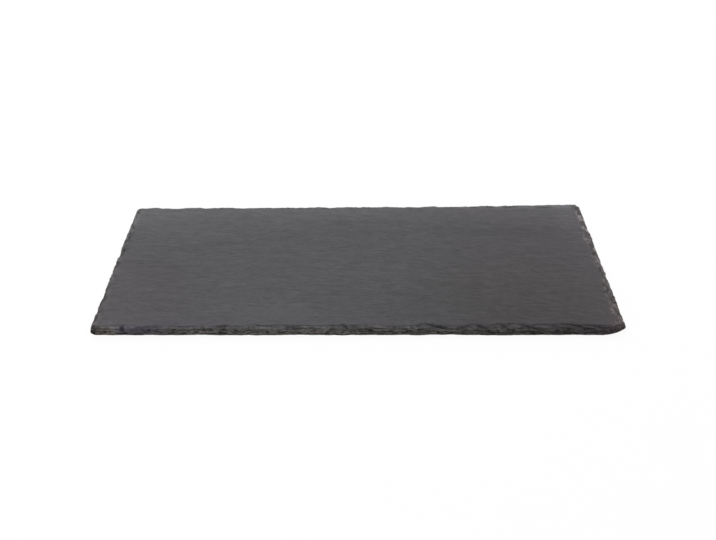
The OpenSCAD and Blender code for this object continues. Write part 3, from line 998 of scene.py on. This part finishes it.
clear = slate.ranged(slate.noise((32, 60, 32), 3.0, 0.5), 0.40, 0.62, 0.2, 1.0)
lines = slate.ranged(slate.noise((110, 900, 900), 3.0, 0.6), *NOISE_RANGE, -LINE_DEPTH, LINE_DEPTH)
arcs = slate.noise((75, 150, 75), 2.0, 0.5, 1.6)
arc_edge = slate.maths("ABSOLUTE", slate.maths("SUBTRACT", arcs, 0.5))
arc_line = slate.ranged(arc_edge, 0.0, ARC_WIDTH, ARC_DEPTH, 0.0)
arc_clear = slate.ranged(slate.noise((40, 70, 40), 2.0), 0.55, 0.65)
tone = slate.product(
    slate.varied(patches, PATCH_DEPTH),
    slate.varied(streaks, STREAK_TONE_DEPTH),
    slate.varied(scales, SCALE_TONE_DEPTH),
    slate.varied(dust, DUST_DEPTH),
    slate.maths("ADD", slate.product(clear, lines), 1.0),
    slate.maths("ADD", slate.product(arc_clear, arc_line), 1.0),
    slate.ranged(scratches, 0.68, 0.74, 1.0, SCRATCH_TONE),
)
hue_drift = slate.noise((16, 24, 16), 3.0, 0.6)
hue = slate.mixed(slate.ranged(hue_drift, 0.35, 0.65), BLUISH, REDDISH)
face = slate.mixed(1.0, slate.grey_of(slate.maths("MULTIPLY", tone, FACE_GREY)), hue, "MULTIPLY")

# The broken edge: stone mottled in short blocks, with pale bruised flecks, darker in its crevices as
# painted shade and paler where it stands proud, and darker lower down and paler higher up as painted
# shade and painted light. Its greys are those of its dark and pale blocks and of its flecks.
DARK_BLOCKS, PALE_BLOCKS, FLECKS = grey(0.050), grey(0.104, 1.03, 0.97), grey(0.18, 1.03, 0.93)
# Heights and tones of the broken edge: painted shade low down towards the floor, and painted light high
# up where the bevel faces the lamps
PAINTED_SHADE_AND_LIGHT_Z = (0.002, 0.0065)
PAINTED_SHADE_AND_LIGHT_TONES = (0.66, 1.22)
blocks = slate.noise((460, 460, 1000), 3.0, 0.7)
blotches = slate.noise((150, 150, 300), 2.0, 0.6)
flecks = slate.noise((650, 650, 1100), 3.0, 0.7)
fracture = slate.mixed(slate.ranged(blocks, 0.36, 0.64), DARK_BLOCKS, PALE_BLOCKS)
fracture = slate.mixed(slate.ranged(flecks, 0.62, 0.70), fracture, FLECKS)
# Crevice depth, which gives the painted shade in the crevices of the broken edge
crevice_shade = slate.node("ShaderNodeAttribute", attribute_name="crevice_shade").outputs["Fac"]
fracture_tone_and_painted_shade = slate.product(
    slate.ranged(crevice_shade, -0.8, 0.8, 1.22, 0.62),
    slate.ranged(crevice_shade, 0.8, 1.2, 1.0, 0.8),
    slate.ranged(blotches, 0.35, 0.65, 0.84, 1.16),
    slate.ranged(z_place, *PAINTED_SHADE_AND_LIGHT_Z, *PAINTED_SHADE_AND_LIGHT_TONES),
)
fracture = slate.mixed(1.0, fracture, slate.grey_of(fracture_tone_and_painted_shade), "MULTIPLY")
edge_share = slate.node("ShaderNodeAttribute", attribute_name="broken").outputs["Fac"]
# The tint attribute holds painted light and shade as well as the stone's tint
tint = slate.node("ShaderNodeAttribute", attribute_name="tint").outputs["Color"]
colour = slate.mixed(1.0, slate.mixed(edge_share, face, fracture), tint, "MULTIPLY")

relief = slate.bump(terraces, distance=0.0004, strength=0.6)
relief = slate.bump(streaks, distance=0.0003, strength=0.6, normal=relief)
relief = slate.bump(hairs, distance=0.00012, strength=0.6, normal=relief)
relief = slate.bump(dust, distance=0.00010, strength=0.5, normal=relief)
slate.feed(
    slate.shader,
    Base_Color=colour,
    Roughness=slate.ranged(streaks, *NOISE_RANGE, 0.76, 0.66),
    Specular_IOR_Level=0.12,
    Normal=relief,
)
slab.data.materials.append(slate.material)

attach(slab, "root")
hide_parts("slate_slab")


# Rubber feet. Four discs moulded in black rubber, each with a rounded lower rim and a shallow dish
# underneath that helps it to grip. They are stuck under the slab near its corners.

FOOT_SEGMENTS = 96
RIM_STEPS = 6
RIM_ROUNDING = 0.0005
DISH_DEPTH = 0.00018
DISH_SHARE = 0.62
DISH_STEPS = 5
TOP_ROUNDING = 0.00012
WALL_STEPS = 3
CLEAN_RUBBER, SCUFFED_RUBBER = grey(0.016), grey(0.034, 1.02, 0.97)


def turned_piece(name, profile, middle, segments, smooth):
    """A closed piece turned about an upright axis. Its profile is (radius, height) pairs from bottom
    to top, of which the first and the last are its poles, and each other one gives a ring."""
    angles = np.arange(segments) / segments * 2 * math.pi
    radii, heights = profile[1:-1].T[..., None]
    x, y = middle[0] + radii * np.cos(angles), middle[1] + radii * np.sin(angles)
    rings = np.stack([x, y, np.broadcast_to(heights, x.shape)], -1)
    count = len(rings)
    poles = [[middle[0], middle[1], profile[end][1]] for end in (0, -1)]
    vertices = np.concatenate([rings.reshape(-1, 3), poles])
    quads = np.concatenate([
        ring_quads((ring + 1) * segments, ring * segments, segments) for ring in range(count - 1)
    ])
    here = np.arange(segments)
    there = (here + 1) % segments
    bottom_pole = np.full(segments, count * segments)
    low_fan = np.stack([bottom_pole, there, here], -1)
    high_fan = np.stack([
        bottom_pole + 1, (count - 1) * segments + here, (count - 1) * segments + there
    ], -1)
    return mesh_object(name, vertices, quads, np.concatenate([low_fan, high_fan]), smooth)


def foot_profile(low, high):
    """From the middle of the dish out to its lip, round the lower rim, up the wall and in again."""
    radius = (high[0] - low[0]) / 2
    dish_t = np.linspace(0, 1, DISH_STEPS)
    dish = np.column_stack([
        dish_t * radius * DISH_SHARE, low[2] + DISH_DEPTH * (1 - eased(dish_t))
    ])
    turn = np.linspace(0, math.pi / 2, RIM_STEPS)
    rim = np.column_stack([
        radius - RIM_ROUNDING * (1 - np.sin(turn)), low[2] + RIM_ROUNDING * (1 - np.cos(turn))
    ])
    wall_t = np.linspace(0, 1, WALL_STEPS + 1)[1:]
    wall_height = high[2] - TOP_ROUNDING - low[2] - RIM_ROUNDING
    wall = np.column_stack([
        np.full(WALL_STEPS, radius), low[2] + RIM_ROUNDING + wall_height * wall_t
    ])
    top = np.array([[radius - TOP_ROUNDING, high[2]], [radius / 2, high[2]], [0, high[2]]])
    return np.concatenate([dish, rim, wall, top])


rubber = Finish("foot_rubber")
pores = rubber.noise((1500, 1500, 1500), 4.0, 0.6)
scuffs = rubber.noise((300, 300, 300), 3.0, 0.6)
rubber.feed(
    rubber.shader,
    Base_Color=rubber.mixed(rubber.ranged(scuffs, 0.4, 0.75), CLEAN_RUBBER, SCUFFED_RUBBER),
    Roughness=rubber.ranged(scuffs, *NOISE_RANGE, 0.62, 0.78),
    Normal=rubber.bump(pores, distance=0.00008, strength=0.6),
)
for place in foot_places:
    node = "rubber_foot_" + place
    low, high = foot_boxes[place]
    profile = foot_profile(low, high)
    foot = turned_piece("moulded_" + node, profile, (low + high) / 2, FOOT_SEGMENTS, True)
    foot.data.materials.append(rubber.material)
    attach(foot, "root")
    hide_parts(node)


# Adhesive. A film of acrylic adhesive on the back of each foot, die-cut with it, which holds the
# foot to the stone. Only its rim shows.

FILM_SEGMENTS = 96
FILM_TUCK = 0.00015
FILM_BULGE = 0.00004
CLEAR_FILM, CLOUDY_FILM = (0.50, 0.48, 0.40, 1.0), (0.66, 0.64, 0.56, 1.0)

film = Finish("foot_adhesive")
cloud = film.noise((700, 700, 700), 3.0, 0.6)
film.feed(
    film.shader,
    Base_Color=film.mixed(cloud, CLEAR_FILM, CLOUDY_FILM),
    Roughness=film.ranged(cloud, *NOISE_RANGE, 0.35, 0.5),
    Normal=film.bump(cloud, distance=0.00004, strength=0.5),
)
for place in foot_places:
    node = "adhesive_" + place
    low, high = (np.array(corner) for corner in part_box(node))
    radius = (high[0] - low[0]) / 2 - FILM_TUCK
    middle_z = (low[2] + high[2]) / 2
    profile = np.array([
        [0, low[2]], [radius / 2, low[2]], [radius, low[2]], [radius + FILM_BULGE, middle_z],
        [radius, high[2]], [radius / 2, high[2]], [0, high[2]],
    ])
    disc = turned_piece("film_of_" + node, profile, (low + high) / 2, FILM_SEGMENTS, False)
    disc.data.materials.append(film.material)
    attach(disc, "root")
    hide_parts(node)


# Floor and light. A plain pale floor that meets a pale room, a large soft lamp above the board at the
# back left, a low wide one behind it, whose light glances off the slate, a small low one at the back
# right, which picks out the broken right end, and a soft one in front.

FLOOR_HALF = 6.0
FLOOR_COLOUR = (0.85, 0.85, 0.85, 1.0)
FLOOR_SHADOW_SHARE = 0.05
ROOM_COLOUR = (1.0, 1.0, 1.0, 1.0)
ROOM_STRENGTH = 0.5

floor_corners = np.column_stack([CORNER_SIGNS * FLOOR_HALF, np.zeros(4)])
floor = mesh_object("floor", floor_corners, np.arange(4)[None], np.zeros((0, 3), int), False)


def seen_ray(finish):
    """1 for rays from the camera and for mirror and glass rays, and 0 for light that scatters."""
    path = finish.node("ShaderNodeLightPath").outputs
    seen = finish.maths("MAXIMUM", path["Is Camera Ray"], path["Is Glossy Ray"])
    return finish.maths("MAXIMUM", seen, path["Is Transmission Ray"])


def show_mix(tree, share, first, second, output):
    """Wires a mix of two shaders by a share to the output of a node tree."""
    mix = tree.nodes.new("ShaderNodeMixShader")
    for socket, value in zip(mix.inputs, (share, first, second)):
        tree.links.new(value, socket)
    tree.links.new(mix.outputs["Shader"], tree.nodes[output].inputs["Surface"])


pale = Finish("pale_floor")
pale.feed(pale.shader, Base_Color=FLOOR_COLOUR, Roughness=0.9)
glow = pale.node("ShaderNodeEmission")
pale.feed(glow, Strength=1.0)
shown = pale.maths("MULTIPLY", seen_ray(pale), 1 - FLOOR_SHADOW_SHARE)
pale_tree = pale.material.node_tree
show_mix(pale_tree, shown, pale.shader.outputs[0], glow.outputs[0], "Material Output")
floor.data.materials.append(pale.material)

world = bpy.data.worlds.new("pale_room")
world.use_nodes = True
room_tree = world.node_tree
room, backdrop = room_tree.nodes["Background"], room_tree.nodes.new("ShaderNodeBackground")
for background, strength in ((room, ROOM_STRENGTH), (backdrop, 1.0)):
    background.inputs["Color"].default_value = ROOM_COLOUR
    background.inputs["Strength"].default_value = strength
camera_ray = room_tree.nodes.new("ShaderNodeLightPath").outputs["Is Camera Ray"]
show_mix(room_tree, camera_ray, room.outputs[0], backdrop.outputs[0], "World Output")
bpy.context.scene.world = world


def soft_lamp(name, at, aim, size, power):
    """A rectangular area lamp that faces a point, of a width, a height and a power in watts."""
    lamp = bpy.data.lights.new(name, "AREA")
    lamp.shape = "RECTANGLE"
    lamp.size, lamp.size_y = size
    lamp.energy = power
    stand = bpy.data.objects.new(name, lamp)
    stand.location = at
    stand.rotation_euler = (Vector(aim) - Vector(at)).to_track_quat("-Z", "Y").to_euler()
    bpy.context.scene.collection.objects.link(stand)


soft_lamp("key_lamp", at=(-0.35, 0.5, 0.85), aim=(0, 0, 0), size=(0.6, 0.6), power=6.5)
soft_lamp("right_lamp", at=(0.9, 0.7, 0.28), aim=(0.1, 0, 0), size=(0.5, 0.4), power=3.5)
soft_lamp("back_lamp", at=(-0.1, 1.2, 0.28), aim=(0, 0, 0), size=(2.0, 0.5), power=4.0)
soft_lamp("front_lamp", at=(-0.5, -1.4, 0.6), aim=(0, 0, 0), size=(1.0, 0.8), power=10.0)

bpy.context.scene.view_settings.view_transform = "Standard"
